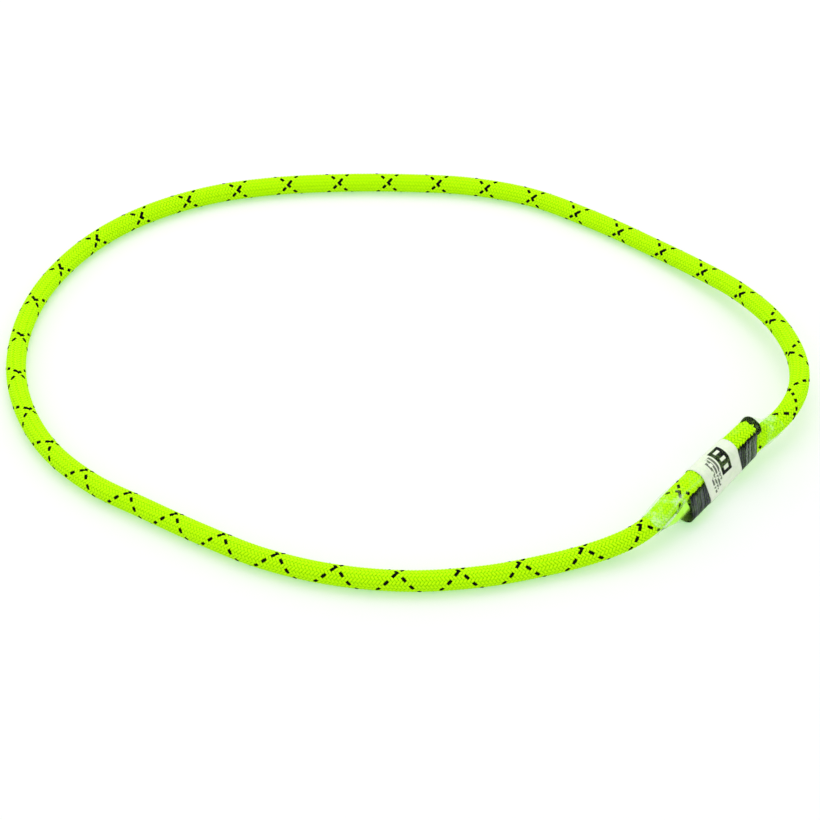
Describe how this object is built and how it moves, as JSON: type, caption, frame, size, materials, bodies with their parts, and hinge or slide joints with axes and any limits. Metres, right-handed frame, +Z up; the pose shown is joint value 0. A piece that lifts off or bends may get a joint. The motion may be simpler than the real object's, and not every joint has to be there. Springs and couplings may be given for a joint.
{
  "type": "sewn dynamic climbing rope loop",
  "caption": "Short endless loop of round kernmantle climbing rope whose two ends are stitched side by side under a label and a clear shrink sleeve.",
  "frame": {"origin": "centre of the loop's bounding box, on the surface that the rope lies on", "axes": "+X along the loop's long way, towards the sewn splice; +Y across the loop; +Z up, out of the plane that the loop lies in"},
  "size_m": [0.3996, 0.3044, 0.0261],
  "materials": {
    "sheath": "tight braid of lime polyamide yarns with two black tracer yarns, slight sheen",
    "core": "twisted white polyamide strands",
    "end_seal": "melted and dipped black rope end",
    "thread": "black bonded polyester sewing thread, twisted",
    "label": "cream printed film",
    "sleeve": "clear glossy heat-shrink film, a little milky at its ends"
  },
  "bodies": {
    "root": {"sheath": "sheath", "core_strand_01": "core", "core_strand_02": "core", "core_strand_03": "core", "core_strand_04": "core", "core_strand_05": "core", "core_strand_06": "core", "core_strand_07": "core", "core_strand_08": "core", "core_strand_09": "core", "core_strand_10": "core", "core_strand_11": "core", "core_strand_12": "core", "upper_end_seal": "end_seal", "lower_end_seal": "end_seal", "outer_stitching": "thread", "inner_stitching": "thread", "label": "label", "shrink_sleeve": "sleeve"}
  },
  "joints": []
}
